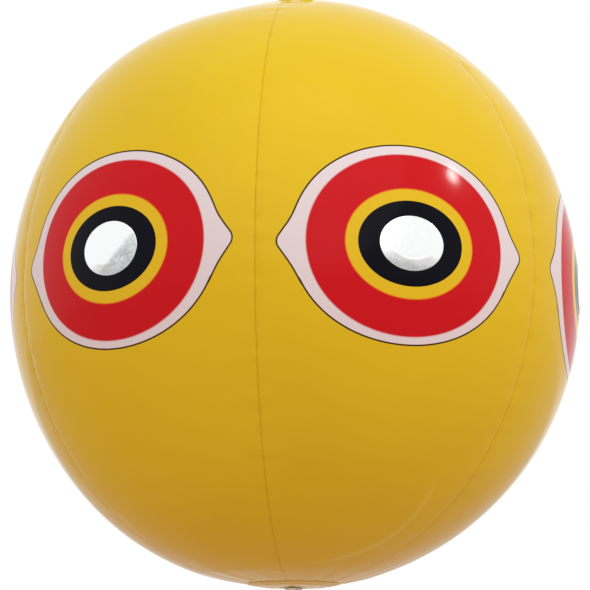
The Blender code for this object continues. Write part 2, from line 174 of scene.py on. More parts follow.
class BalloonColours(bpy.types.PropertyGroup):
    """Colours of the film, inks, foil and fittings"""

    __annotations__ = tones(
        yellow=("Yellow film of the gores", (0.80, 0.56, 0.018)),
        yellow_deep=("The same film where it is thicker", (0.74, 0.48, 0.012)),
        # Painted shade: the film is darkened in a thin band where it turns in to the weld at each seam
        weld=("The film where it turns in to a weld", (0.52, 0.27, 0.006)),
        # Lighter along the old folds: strain whitening, and a painted highlight along each fold
        crease=("The film along its old folds, whitened by strain", (0.88, 0.70, 0.14)),
        red=("Ink of the iris", (0.61, 0.008, 0.013)),
        gold=("Ring round the black oval", (0.79, 0.53, 0.018)),
        fringe=("Where red ink meets gold", (0.80, 0.20, 0.010)),
        black=("Ring round the pupil", (0.0014, 0.0014, 0.0060)),
        white=("White of the eye", (0.80, 0.72, 0.73)),
        outline=("Line round the eye", (0.055, 0.022, 0.006)),
        foil=("Metallised film of the pupils", (0.95, 0.955, 0.96)),
        # Painted reflection: the foil is darker on its loose side, standing for the darker surroundings it
        # reflects
        foil_dull=("The same film where it has come loose", (0.44, 0.47, 0.49)),
        milky=("Moulded vinyl of the valve", (0.82, 0.82, 0.76)),
        brass=("Pressed brass of the eyelet", (0.79, 0.60, 0.26)),
        # Painted shade in the foil's folds
        foil_fold=("Folds in the foil", (0.24, 0.26, 0.28)),
        milky_deep=("The vinyl where it is cloudier", (0.74, 0.73, 0.66)),
        tarnish=("Dull spots in the brass", (0.45, 0.30, 0.12)),
    )


class TabSizes(bpy.types.PropertyGroup):
    """The hang tab and its eyelet"""

    __annotations__ = lengths(
        thickness=("Thickness of the tab", 0.0008),
        base_width=("Width of the tab at its foot", 0.027),
        head_radius=("Radius of the tab's round head", 0.011),
        edge_round=("Rounding of the tab's edges", 0.0002),
        foot_spread=("How far the foot spreads to each side", 0.0026),
        foot_height=("Height over which the foot spreads", 0.0022),
        bore=("Radius of the eyelet's bore", 0.004),
        wall=("Wall of the eyelet's barrel", 0.0009),
        flange=("Radius of the eyelet's flange", 0.0072),
        flange_thickness=("Thickness of the flange", 0.0012),
        washer_thickness=("Thickness of the washer", 0.0008),
        roll=("Width of the rolled end on the washer", 0.0010),
        roll_thickness=("Thickness of the rolled end", 0.0009),
    )


class ValveSizes(bpy.types.PropertyGroup):
    """The inflation valve, pushed into the bottom disc"""

    __annotations__ = lengths(
        flange_radius=("Radius of the flange under the disc", 0.015),
        flange_hole=("Radius of the flange's hole", 0.008),
        flange_thickness=("Thickness of the flange", 0.001),
        web=("Thickness of the rolling web", 0.0005),
        stem_radius=("Outer radius of the stem", 0.005),
        stem_bore=("Bore of the stem", 0.0035),
        stem_length=("Length of the stem", 0.011),
        collar_width=("How far the stem's collar stands out", 0.001),
        collar_height=("Height of the collar", 0.0012),
        foot_height=("Height of the rim at the stem's inner end", 0.0007),
        cap_radius=("Radius of the plug's cap", 0.006),
        cap_thickness=("Thickness of the plug's cap", 0.0014),
        cap_dish=("Depth of the hollow in the cap", 0.0004),
        shank_length=("Length of the plug's shank", 0.005),
        lip_length=("How far the finger lip stands out", 0.004),
        lip_width=("Width of the finger lip", 0.005),
        strap_thickness=("Thickness of the plug's strap", 0.0004),
        strap_width=("Width of the strap", 0.003),
        strap_reach=("How far the strap's loop stands out", 0.013),
        flap_radius=("Radius of the check flap", 0.0045),
        flap_thickness=("Thickness of the check flap", 0.0006),
        flap_hinge=("Width of the flap's hinge", 0.004),
    )


class StageSizes(bpy.types.PropertyGroup):
    """Camera, lamps, floor and background"""

    __annotations__ = lengths(
        camera_distance=("From the ball's centre", 1.956),
        camera_drop=("How far under the ball's centre the camera looks", 0.0015),
        floor_drop=("From the eyelet down to the floor", 4.5),
        floor_reach=("Half the floor's width", 200),
    ) | turns(
        camera_azimuth=("Round the ball, from the front seam", 7.42),
        camera_elevation=("Above the horizon", -10.13),
        camera_roll=("Leaning of the camera", 0.30),
    ) | tones(
        floor=("Colour of the floor", (0.72, 0.70, 0.68)),
        floor_bounce=("Colour of the light that the floor throws back", (0.58, 0.40, 0.35)),
        ambient=("Light from all round", (0.78, 0.78, 0.78)),
    )


# Finishes


class Signal:
    """The value of one socket in a finish. Python's operators on it add Math nodes."""

    def __init__(self, finish, socket):
        self.finish = finish
        self.socket = socket

    def maths(self, operation, *values, clamp=False):
        node = self.finish.add("Math", {"operation": operation, "use_clamp": clamp}, dict(enumerate(values)))
        return Signal(self.finish, node.outputs[0])

    def __add__(self, other):
        return self.maths("ADD", self, other)

    def __sub__(self, other):
        return self.maths("SUBTRACT", self, other)

    def __rsub__(self, other):
        return self.maths("SUBTRACT", other, self)

    def __mul__(self, other):
        return self.maths("MULTIPLY", self, other)

    def __truediv__(self, other):
        return self.maths("DIVIDE", self, other)

    def __gt__(self, other):
        return self.maths("GREATER_THAN", self, other)

    def __abs__(self):
        return self.maths("ABSOLUTE", self)

    __radd__ = __add__

    def root(self):
        return self.maths("SQRT", self)

    def sine(self):
        return self.maths("SINE", self)

    def highest(self, other):
        return self.maths("MAXIMUM", self, other)

    def softly_lowest(self, other, reach):
        return self.maths("SMOOTH_MIN", self, other, reach)

    def below(self, edge, softness):
        """1 where the value is under the edge and 0 above it, changing over the softness."""
        return self.maths("ADD", (edge - self) / softness, 0.5, clamp=True)


class Nodes:
    """A node tree in the making."""

    def __init__(self, tree):
        self.tree = tree

    def add(self, kind, settings=None, inputs=None):
        """Adds a node. Its settings are set first, and each input gets a number, a colour or a link."""
        node = self.tree.nodes.new("ShaderNode" + kind)
        for name, value in (settings or {}).items():
            setattr(node, name, value)
        for key, value in (inputs or {}).items():
            self.feed(node.inputs[key], value)
        return node

    def feed(self, socket, value):
        if isinstance(value, Signal):
            value = value.socket
        if isinstance(value, bpy.types.NodeSocket):
            self.tree.links.new(value, socket)
        elif hasattr(value, "__len__") and len(value) == 3 and len(socket.default_value) == 4:
            socket.default_value = (*value, 1)
        else:
            socket.default_value = value

    def split(self, vector):
        node = self.add("SeparateXYZ", inputs={0: vector})
        return [Signal(self, output) for output in node.outputs]

    def mix(self, factor, first, second):
        return self.add("Mix", {"data_type": "RGBA"}, {0: factor, 6: first, 7: second}).outputs[2]

    def seen_plainly(self):
        """1 for camera, glossy and transmission rays, which see the background as it is painted."""
        path = self.add("LightPath").outputs
        seen = Signal(self, path["Is Camera Ray"])
        return seen.highest(path["Is Glossy Ray"]).highest(path["Is Transmission Ray"])


class Finish(Nodes):
    """A material in the making: its shader, its coordinates and the nodes that are added to it."""

    def __init__(self, name, **constants):
        self.material = bpy.data.materials.new(name)
        self.material.use_nodes = True
        super().__init__(self.material.node_tree)
        self.shader = self.tree.nodes["Principled BSDF"]
        for socket, value in constants.items():
            self.shader.inputs[socket.replace("_", " ")].default_value = value
        self.place = self.add("TexCoord").outputs["Object"]

    def attribute(self, name):
        return Signal(self, self.add("Attribute", {"attribute_name": name}).outputs["Fac"])

    def noise(self, pitch, detail=2.0, roughness=0.5, place=None):
        inputs = {"Vector": place or self.place, "Scale": 1 / pitch, "Detail": detail, "Roughness": roughness}
        return Signal(self, self.add("TexNoise", inputs=inputs).outputs[0])

    def uneven(self, least, spread, pitch, detail=3.0, roughness=0.5):
        """A value that wanders by the spread above its least."""
        return least + self.noise(pitch, detail, roughness) * spread

    def relief(self, height, pitch):
        """Low bumps that wander at random."""
        return self.noise(pitch) * height

    def clouded(self, most, pitch, thin, deep, softness=0.5):
        """A colour that deepens in soft clouds, by that share at most."""
        return self.mix(self.noise(pitch, detail=3.0).below(0.5, softness) * most, thin, deep)

    def cell_edges(self, pitch):
        """The distance from the edges of random cells, as a share of the pitch."""
        inputs = {"Vector": self.place, "Scale": 1 / pitch}
        node = self.add("TexVoronoi", {"feature": "DISTANCE_TO_EDGE"}, inputs)
        return Signal(self, node.outputs["Distance"])

    def bump(self, height):
        """Height is in metres."""
        node = self.add("Bump", inputs={"Strength": 1.0, "Distance": 1.0, "Height": height})
        self.feed(self.shader.inputs["Normal"], node.outputs[0])

    def show(self, **values):
        for socket, value in values.items():
            self.feed(self.shader.inputs[socket.replace("_", " ")], value)
        return self.material


def oval_distance(across, along, half_width, half_height):
    """How far outside an oval a point is, close to true near its edge."""
    wide = across / half_width
    tall = along / half_height
    level = (wide * wide + tall * tall).root()
    wide = wide / half_width
    tall = tall / half_height
    slope = (wide * wide + tall * tall).root()
    return level * (level - 1) / slope


def eye_distance(across, along, eye):
    """How far outside the eye's outline a point is: an oval with a round corner at each side."""
    oval = oval_distance(across, abs(along - eye.white_lift), eye.white_width, eye.white_height)
    beside = across - (eye.corner_reach - eye.corner_round)
    along = abs(along - eye.corner_lift)
    sine = math.sin(eye.corner_slope)
    cosine = math.cos(eye.corner_slope)
    flank = beside * sine + along * cosine
    tip = (beside * beside + along * along).root()
    on_tip = (beside * cosine - along * sine) > 0
    corner = flank + (tip - flank) * on_tip - eye.corner_round
    corner = corner.highest(eye.corner_root - across)
    return oval.softly_lowest(corner, eye.corner_blend)


# Folds from lying flat in the box. Each runs along a plane's cut through the ball: the plane's normal and
# offset, the fold's middle and half length, and its strength.
CREASES = (
    # This one runs round the lower right of the front
    ((-0.1727, 0.7011, 0.6919), -0.3441, (0.066, -0.080, -0.400), 0.045, 1.0),
    ((0.62, 0.10, 0.778), -0.248, (-0.11, 0.13, -0.26), 0.10, 0.6),
    ((0.30, 0.90, -0.316), 0.137, (0.12, 0.15, -0.13), 0.09, 0.7),
    ((-0.86, 0.12, 0.496), -0.035, (-0.06, -0.03, -0.06), 0.09, 0.6),
)
CREASE_HALF_WIDTH = 0.0007
CREASE_SOFTNESS = 0.0014


def crease_lines(finish):
    """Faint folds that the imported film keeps, 1 on their lines."""
    total = None
    for normal, offset, middle, reach, strength in CREASES:
        cut = finish.add("VectorMath", {"operation": "DOT_PRODUCT"}, {0: finish.place, 1: normal})
        away = finish.add("VectorMath", {"operation": "DISTANCE"}, {0: finish.place, 1: middle})
        line = abs(Signal(finish, cut.outputs["Value"]) - offset).below(CREASE_HALF_WIDTH, CREASE_SOFTNESS)
        near = Signal(finish, away.outputs["Value"]).below(reach, reach / 2)
        fold = line * near * strength
        total = fold if total is None else total.highest(fold)
    return total * (finish.noise(pitch=0.02) + 0.3)


def printed_film(colours, eye):
    """Glossy yellow film with the eye printed round the middle of each gore's flat pattern."""
    finish = Finish("printed_film", Specular_IOR_Level=0.085)
    across, along, _ = finish.split(finish.add("UVMap", {"uv_map": "flat_gore"}).outputs[0])
    across = abs(across)
    level = abs(along)
    seam = finish.attribute("seam_distance")
    # Screen printing leaves its edges a little uneven
    waver = (finish.noise(pitch=0.004, detail=1.0) - 0.5) * eye.ink_waver

    def ink(distance, grow=0.0, softness=eye.ink_softness):
        return (distance + waver).below(grow, softness)

    outside = eye_distance(across, along, eye)
    red = oval_distance(across, level, eye.red_width, eye.red_height)
    gold = oval_distance(across, level, eye.gold_width, eye.gold_height)
    black = oval_distance(across, level, eye.black_width, eye.black_height)
    cloud = finish.noise(pitch=0.11, detail=3.0)
    folds = crease_lines(finish)
    base = colours.yellow
    for share, layer in (
        # The film is thicker, and so deeper in colour, in clouds. A thin band of painted shade darkens it
        # along each seam, where it turns in to the weld
        (cloud.below(0.5, 0.5) * 0.55, colours.yellow_deep),
        (seam.below(edge=0.0004, softness=0.0016) * 0.3, colours.weld),
        # The old folds are lighter by strain whitening and by a painted highlight along them
        (folds * 0.5, colours.crease),
        (ink(outside), colours.outline),
        (ink(outside, -eye.outline), colours.white),
        (ink(red, grow=0.0002, softness=0.0011), colours.red),
        (ink(gold), colours.fringe),
        (ink(gold, -eye.fringe), colours.gold),
        (ink(black), colours.black),
    ):
        base = finish.mix(share, base, layer)

    # Handling leaves the gloss uneven, and ink is a little duller than bare film
    gloss = finish.uneven(0.07, 0.06, pitch=0.03, detail=4.0, roughness=0.62)
    peel = finish.relief(0.000006, pitch=0.0035) + finish.relief(0.00007, pitch=0.018)
    # Pinches are long across the seam and narrow along it, and shift from cloud to cloud
    stretched = finish.add("CombineXYZ", inputs={0: seam * 70, 1: along * 260, 2: cloud * 9}).outputs[0]
    pinches = (finish.noise(1.0, place=stretched) - 0.5) * seam.below(edge=0.004, softness=0.008)
    finish.bump(peel + folds * 0.0002 + pinches * 0.0005)
    return finish.show(Base_Color=base, Roughness=gloss + ink(outside) * 0.03)


# The ribs end this far inside the weld
WELD_MARGIN = 0.0008


def disc_film(colours, ball):
    """The thicker film of the discs and the tab's patch, with the weld tool's ribs round its edge."""
    finish = Finish("disc_film", Specular_IOR_Level=0.15)
    x, y, _ = finish.split(finish.place)
    radius = (x * x + y * y).root()
    angle = x.maths("ARCTAN2", x, y)
    middle = ball.disc_radius - ball.disc_weld / 2
    in_weld = abs(radius - middle).below(ball.disc_weld / 2 - WELD_MARGIN, WELD_MARGIN / 2)
    ribs = (angle * 150 + radius * 2600).sine() * (angle * 150 - radius * 2600).sine()
    base = finish.clouded(0.6, 0.02, colours.yellow, colours.yellow_deep)
    base = finish.mix(in_weld * 0.45, base, colours.yellow_deep)
    finish.bump(finish.relief(0.000008, pitch=0.003) + ribs * in_weld * 0.00003)
    return finish.show(Base_Color=base, Roughness=finish.uneven(0.13, 0.10, pitch=0.012) + in_weld * 0.08)


def tab_film(colours):
    """Two layers of film pressed together, with a fine cloth grain from the press."""
    finish = Finish("tab_film", Specular_IOR_Level=0.15)
    x, _, z = finish.split(finish.place)
    grain = (x * 5200).sine() * (z * 5200).sine()
    base = finish.clouded(0.7, 0.012, colours.yellow, colours.yellow_deep)
    finish.bump(grain * 0.000012 + finish.relief(0.00005, pitch=0.006))
    return finish.show(Base_Color=base, Roughness=finish.uneven(0.20, 0.14, pitch=0.008))


def crinkled_foil(colours):
    """Bright metallised film, cracked where it has come loose. It is darker there as a painted reflection,
    with painted shade in its folds.
    """
    finish = Finish("crinkled_foil", Metallic=1.0)
    slack = finish.attribute("slack")
    folds = finish.cell_edges(pitch=0.0032).below(0.08, 0.16)
    fine = finish.noise(pitch=0.0011, detail=3.0, roughness=0.6)
    scuff_and_reflection = finish.noise(pitch=0.006, detail=4.0, roughness=0.65).below(0.44, 0.16)
    # Painted reflection darkens the loose side, more so in patches that are also rougher
    base = finish.mix(slack * (0.50 + scuff_and_reflection * 0.3), colours.foil, colours.foil_dull)
    # Painted shade darkens the lines of the foil's folds
    base = finish.mix(folds * (slack * 0.2 + 0.02), base, colours.foil_fold)
    finish.bump(folds * (slack + 0.1) * 0.00004 + fine * 0.00001)
    return finish.show(Base_Color=base, Roughness=0.10 + fine * 0.05 + scuff_and_reflection * 0.04 + slack * 0.10)


def moulded_vinyl(colours):
    """Soft moulded vinyl that lets a little light in."""
    finish = Finish("moulded_vinyl", Subsurface_Weight=0.35, Subsurface_Scale=0.002, Specular_IOR_Level=0.4)
    base = finish.clouded(0.5, 0.004, colours.milky, colours.milky_deep, softness=0.6)
    finish.bump(finish.relief(0.00002, pitch=0.0012))
    return finish.show(Base_Color=base, Roughness=finish.uneven(0.24, 0.14, pitch=0.003))


def pressed_brass(colours):
    """Satin brass with the rings of its press tool, a little browner in the dull spots."""
    finish = Finish("pressed_brass", Metallic=1.0)
    x, _, z = finish.split(finish.place)
    rings = ((x * x + z * z).root() * 21000).sine()
    spots = finish.noise(pitch=0.003, detail=4.0, roughness=0.6).below(0.47, 0.25)
    base = finish.mix(spots * 0.5, colours.brass, colours.tarnish)
    finish.bump(rings * 0.000002 + finish.relief(0.000006, pitch=0.0008))
    return finish.show(Base_Color=base, Roughness=finish.uneven(0.20, 0.12, pitch=0.0015) + spots * 0.16)


def finish_of(make, *values):
    """The material with the name of the function that makes it, made at its first use."""
    return bpy.data.materials.get(make.__name__) or make(*values)


# The ball's surface


def plain_sizes(group):
    """A property group's values as a plain object, which long loops read faster."""
    names = [name for name in group.bl_rna.properties.keys() if name not in ("rna_type", "name")]
    return SimpleNamespace(**{name: getattr(group, name) for name in names})


def towards(azimuth, elevation):
    """The direction at that azimuth from the front seam, positive towards +X, and elevation."""
    level = math.cos(elevation)
    return Vector((math.sin(azimuth) * level, -math.cos(azimuth) * level, math.sin(elevation)))


# Where the film has stretched more or less than the rest: longitude, latitude, how far it stands out, reach
BULGES = (
    (-46, -54, 0.0050, 31),
    (-32, 72, -0.0026, 14),
    (-68, 49, 0.0018, 14),
    (94, 15, -0.0016, 14),
    (72, -39, 0.0014, 24),
)
# Puckers drift in strength and lean along the seam, and change across it, over these lengths
PUCKER_DRIFT = 0.06
PUCKER_LEAN = 0.03
PUCKER_WIDTH = 0.03
GATHERS_PER_RADIUS = 6.5
LEAST_FADE = 0.02


class Ball:
    """The inflated ball's outer surface, which flat pieces are wrapped on."""

    def __init__(self, context):
        self.sizes = plain_sizes(context.scene.balloon_ball)
        self.bulges = [
            (towards(math.radians(longitude), math.radians(latitude)), height, math.radians(reach))
            for longitude, latitude, height, reach in BULGES
        ]

    def level(self, latitude):
        return self.sizes.equator_radius * math.cos(latitude)

    def latitude_at(self, radius):
        return math.acos(radius / self.sizes.equator_radius)

    def point(self, longitude, latitude, rise):
        """A point of the surface, raised along its normal."""
        s = self.sizes
        level = self.level(latitude)
        seam = round(longitude / GORE_ANGLE)
        aside = (longitude - seam * GORE_ANGLE) * level
        along = s.polar_radius * latitude
        dip = s.seam_dip * math.exp(-abs(aside) / s.seam_dip_reach)
        out = Vector((math.sin(longitude), -math.cos(longitude), 0))
        place = out * level * (1 - dip / s.equator_radius)
        place.z = s.polar_radius * math.sin(latitude)
        normal = out * s.polar_radius * math.cos(latitude)
        normal.z = s.equator_radius * math.sin(latitude)
        calm = min(1.0, level / (2 * s.disc_radius)) ** 2
        bulge = sum(high * math.exp(-((place.angle(at) / reach) ** 2)) for at, high, reach in self.bulges)
        rise += calm * (bulge + s.wave_height * noise.noise(place / s.wave_pitch))
        rise += calm * self.pucker(seam % GORE_COUNT, aside, along)
        rise += calm * self.gather(out, level)
        return BALL_CENTRE + place + normal.normalized() * rise

    def pucker(self, seam, aside, along):
        """Small wrinkles across a seam, the same on both of its sides at the weld."""
        s = self.sizes
        fade = math.exp(-abs(aside) / s.pucker_reach)
        if fade < LEAST_FADE:
            return 0.0
        drift = noise.noise(Vector((along / PUCKER_DRIFT, seam * 7.7, 3.1)))
        strength = 0.35 + 0.65 * abs(drift) * 2
        lean = aside * 0.6 * noise.noise(Vector((seam * 3.3, along / PUCKER_LEAN, 0)))
        wrinkle = noise.noise(Vector(((along + lean) / s.pucker_pitch, aside / PUCKER_WIDTH, seam * 5.3)))
        return s.pucker_height * strength * fade * wrinkle * 2

    def gather(self, out, level):
        """Folds that run from the edge of a disc into the gores."""
        s = self.sizes
        fade = math.exp(-max(level - s.disc_radius, 0) / s.gather_reach)
        if fade < LEAST_FADE:
            return 0.0
        return s.gather_height * fade * noise.noise(out * GATHERS_PER_RADIUS) * 2


def wrap_on_pole(bm, ball, side):
    """Lays a flat round piece on the ball's top (side 1) or bottom (side -1). Its z becomes the rise."""
    for vertex in bm.verts:
        x, y, rise = vertex.co
        latitude = side * ball.latitude_at(min(math.hypot(x, y), ball.sizes.equator_radius))
        vertex.co = ball.point(math.atan2(x, -y) % math.tau, latitude, rise)
    bmesh.ops.recalc_face_normals(bm, faces=bm.faces)


def wrap_on_gore(bm, ball, number):
    """Lays a flat piece on the middle of a gore. Its z becomes the rise."""
    middle = (number - 0.5) * GORE_ANGLE
    for vertex in bm.verts:
        across, along, rise = vertex.co
        latitude = along / ball.sizes.polar_radius
        vertex.co = ball.point(middle + across / ball.level(latitude), latitude, rise)
    bmesh.ops.recalc_face_normals(bm, faces=bm.faces)


# Mesh helpers


# Points closer than the first are merged, and heights closer than the second count as the same
MERGE = 1e-6
TOLERANCE = 1e-7


def link(name, data):
    """A new object in the scene."""
    thing = bpy.data.objects.new(name, data)
    bpy.context.scene.collection.objects.link(thing)
    return thing


def add_piece(name, bm, material, node, sharp=35.0):
    """A piece made of a bmesh, standing for a CAD node. Its shading breaks at edges of that many degrees."""
    mesh = bpy.data.meshes.new(name)
    bm.to_mesh(mesh)
    bm.free()
    mesh.shade_smooth()
    mesh.set_sharp_from_angle(angle=math.radians(sharp))
    mesh.materials.append(material)
    piece = link(name, mesh)
    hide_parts(node)
    return piece


def arc(centre, radius, start, end, steps):
    """Points on an arc, both ends included. Angles are in degrees."""
    angles = [math.radians(start + (end - start) * step / steps) for step in range(steps + 1)]
    return [(centre[0] + radius * math.cos(a), centre[1] + radius * math.sin(a)) for a in angles]


def rounded(corners, steps=4):
    """A line through corners, each rounded to its radius. A corner without one stays sharp."""
    points = []
    for index, (x, y, *rest) in enumerate(corners):
        here = Vector((x, y))
        if not rest:
            points.append(here)
            continue
        radius = rest[0]
        back = (Vector(corners[index - 1][:2]) - here).normalized()
        on = (Vector(corners[index + 1][:2]) - here).normalized()
        half = back.angle(on) / 2
        reach = radius / math.tan(half)
        centre = here + (back + on).normalized() * radius / math.sin(half)
        first = (here + back * reach - centre).normalized()
        last = (here + on * reach - centre).normalized()
        for step in range(steps + 1):
            points.append(centre + first.slerp(last, step / steps) * radius)
    return [tuple(point) for point in points]


def turned(profile, steps=96):
    """A line of (radius, height) points turned about Z. It is a closed loop unless it ends on the axis."""
    bm = bmesh.new()
    verts = [bm.verts.new((radius, 0, height)) for radius, height in profile]
    edges = [bm.edges.new(pair) for pair in zip(verts, verts[1:])]
    if profile[0][0] > 0:
        edges.append(bm.edges.new((verts[-1], verts[0])))
    geometry = verts + edges
    axis = (0, 0, 1)
    bmesh.ops.spin(bm, geom=geometry, cent=(0, 0, 0), axis=axis, angle=math.tau, steps=steps, use_merge=True)
    bmesh.ops.remove_doubles(bm, verts=bm.verts, dist=MERGE)
    bmesh.ops.recalc_face_normals(bm, faces=bm.faces)
    return bm


def bevelled(bm, edges, width):
    bmesh.ops.bevel(
        bm, geom=edges, offset=width, segments=2, profile=0.5, affect="EDGES", material=-1, clamp_overlap=True
    )


def drawn(result, kind):
    """The vertices or the faces that an extrusion has drawn out."""
    return [part for part in result["geom"] if isinstance(part, kind)]


def thicken(bm, thickness):
    """Makes a plate of flat faces."""
    raised = bmesh.ops.extrude_face_region(bm, geom=bm.faces)
    bmesh.ops.translate(bm, verts=drawn(raised, bmesh.types.BMVert), vec=(0, 0, thickness))
    bmesh.ops.recalc_face_normals(bm, faces=bm.faces)


def quarter_turn(bm, axis):
    bmesh.ops.rotate(bm, verts=bm.verts, cent=(0, 0, 0), matrix=Matrix.Rotation(math.radians(90), 3, axis))


# Gores


# How far each gore's print sits from its middle, and how many degrees it leans, as the register wanders
PRINTS = (
    (-0.0019, -0.0004, 0.5),
    (0.0042, 0.0, 0.2),
    (-0.0005, 0.0004, -0.3),
    (0.0009, -0.0003, 0.2),
    (-0.0011, 0.0, -0.2),
    (0.0012, 0.0004, 1.0),
)
COLUMNS_PER_HALF_GORE = 26
GORE_ROWS = 220
COLUMN_CROWDING = 1.75


def gore_columns(sizes):
    """Columns from the left seam to the right one, as (side, distance from the seam's face, share, rise)."""
    radius = sizes.shoulder
    turn_in = [(0.0, -sizes.fin_depth), (0.0, -radius * 2)]
    turn_in += [(radius + x, y - radius) for x, y in arc((0, 0), radius, 180, 90, 4)]
    steps = COLUMNS_PER_HALF_GORE
    shares = [(step / steps) ** COLUMN_CROWDING for step in range(1, steps + 1)]
    left = [(-1, aside, 0.0, rise) for aside, rise in turn_in] + [(-1, radius, part, 0.0) for part in shares]
    right = [(1, aside, part, rise) for _, aside, part, rise in reversed(left[:-1])]
    return left + right


def gore_film_bmesh(ball, number):
    """One gore's outer skin, its edges turned in as fins. Its UV map holds the flat pattern in metres."""
    s = ball.sizes
    columns = gore_columns(s)
    limit = ball.latitude_at(s.disc_radius - s.disc_weld)
    bm = bmesh.new()
    bmesh.ops.create_grid(bm, x_segments=len(columns) - 1, y_segments=GORE_ROWS, size=1)
    pattern = bm.loops.layers.uv.new("flat_gore")
    middle = (number - 0.5) * GORE_ANGLE
    aside_print, above_print, lean = PRINTS[number - 1]
    upright = Matrix.Rotation(math.radians(-lean), 2)
    distance = bm.verts.layers.float.new("seam_distance")
    flat = {}
    for vertex in bm.verts:
        side, aside, part, rise = columns[round((vertex.co.x + 1) / 2 * (len(columns) - 1))]
        latitude = vertex.co.y * limit
        level = ball.level(latitude)
        half = GORE_ANGLE / 2 * level - s.seam_gap / 2
        across = side * (half - aside - part * (half - s.shoulder))
        vertex[distance] = half - abs(across)
        flat[vertex] = upright @ Vector((across - aside_print, latitude * s.polar_radius - above_print))
        vertex.co = ball.point(middle + across / level, latitude, rise)
    for face in bm.faces:
        for loop in face.loops:
            loop[pattern].uv = flat[loop.vert]
    return bm


class BALLOON_OT_gores(bpy.types.Operator):
    """Builds the six gores of printed film"""

    bl_idname = "balloon.gores"
    bl_label = "Gores"

    def execute(self, context):
        ball = Ball(context)
        scene = context.scene
        film = finish_of(printed_film, scene.balloon_colours, scene.balloon_eye)
        for number in range(1, GORE_COUNT + 1):
            bm = gore_film_bmesh(ball, number)
            node = f"gore_panel_{number}"
            gore = add_piece(f"gore_film_{number}", bm, film, node, sharp=60)
            wall = gore.modifiers.new("Film", "SOLIDIFY")
            wall.thickness = ball.sizes.film
            wall.offset = -1
            wall.use_rim = True
            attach(gore, "balloon")
        return {"FINISHED"}


# Foil pupils


PUPIL_RINGS = 64
PUPIL_STEPS = 144
IMPRESSION_RADIUS_SHARE = 0.50
IMPRESSION_DEPTH = 0.00010
IMPRESSION_WIDTH_SHARE = 0.03
# Each foil has come loose on one side of a ridge: that side in degrees, and how far out the ridge lies
FOIL_RIDGES = ((-98, 0.73), (-60, 0.5), (-120, 0.55), (-80, 0.6), (-35, 0.45), (-44, 0.34))
RIDGE_WANDER = 0.07
RIDGE_WANDER_PITCH = 0.007
RIM_STEEPNESS = 2.4
SLACK_SOFTNESS = 0.035
# What is left of the crinkles where the foil lies smooth
LEAST_CRINKLE = 0.04


def foil_form(place, share_out, number, eye):
    """How far a point of the foil is raised, and how loose it is there.

    The foil lies smooth up to its ridge and is crinkled beyond it. A round impression from the sticker's
    liner shows round its middle.
    """
    side, ridge = FOIL_RIDGES[number - 1]
    side = math.radians(side)
    drift = RIDGE_WANDER * noise.noise(Vector((place.x, place.y, number * 2.9)) / RIDGE_WANDER_PITCH)
    out = place.x / eye.pupil_width * math.cos(side) + place.y / eye.pupil_height * math.sin(side) + drift
    tent = min((1 + out) / (1 + ridge), (1 - out) / (1 - ridge), RIM_STEEPNESS * (1 - share_out))
    slack = 1 / (1 + math.exp((ridge - out) / SLACK_SOFTNESS))
    near = Vector((place.x, place.y, number * 0.37)) / eye.crinkle_pitch
    ridges = abs(noise.noise(near)) + 0.4 * abs(noise.noise(near * 2.3))
    groove = math.exp(-(((share_out - IMPRESSION_RADIUS_SHARE) / IMPRESSION_WIDTH_SHARE) ** 2))
    crinkles = eye.crinkle_height * ridges * (LEAST_CRINKLE + slack) * (1 - share_out**8)
    return crinkles + eye.pupil_puff * max(tent, 0) - IMPRESSION_DEPTH * groove, slack


class BALLOON_OT_pupils(bpy.types.Operator):
    """Builds the foil pupils, oval stickers in the middle of each eye"""

    bl_idname = "balloon.pupils"
    bl_label = "Foil pupils"

    def execute(self, context):
        ball = Ball(context)
        eye = plain_sizes(context.scene.balloon_eye)
        foil = finish_of(crinkled_foil, context.scene.balloon_colours)
        over = SEAT + eye.pupil_foil
        edge = eye.pupil_foil / 2 / eye.pupil_width
        profile = [(step / PUPIL_RINGS * (1 - edge), over) for step in range(PUPIL_RINGS + 1)]
        profile += [(1.0, (SEAT + over) / 2), (1 - edge, SEAT), (0, SEAT)]
        for number in range(1, GORE_COUNT + 1):
            bm = turned(profile, PUPIL_STEPS)
            slack = bm.verts.layers.float.new("slack")
            for vertex in bm.verts:
                out = math.hypot(vertex.co.x, vertex.co.y)
                vertex.co.x *= eye.pupil_width
                vertex.co.y *= eye.pupil_height
                if vertex.co.z >= over - TOLERANCE:
                    rise, vertex[slack] = foil_form(vertex.co, out, number, eye)
                    vertex.co.z += rise
            bmesh.ops.translate(bm, verts=bm.verts, vec=(*PRINTS[number - 1][:2], 0))
            wrap_on_gore(bm, ball, number)
            node = f"foil_pupil_{number}"
            pupil = add_piece(f"pupil_foil_{number}", bm, foil, node, sharp=80)
            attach(pupil, "balloon")
        return {"FINISHED"}


# Discs and patch


DISC_STEPS = 180
PATCH_STEPS = 120
DISC_EDGE = 0.00012
BEAD_WIDTH = 0.0007
BEAD_HEIGHT = 0.00016
WELD_PRESS = 0.00012
PATCH_PRESS = 0.00016
# Height of a disc's rim as a share of its rise: the bottom one's is pressed thin, the top one's stands up
PRESSED_RIM = 0.55
STANDING_RIM = 1.1


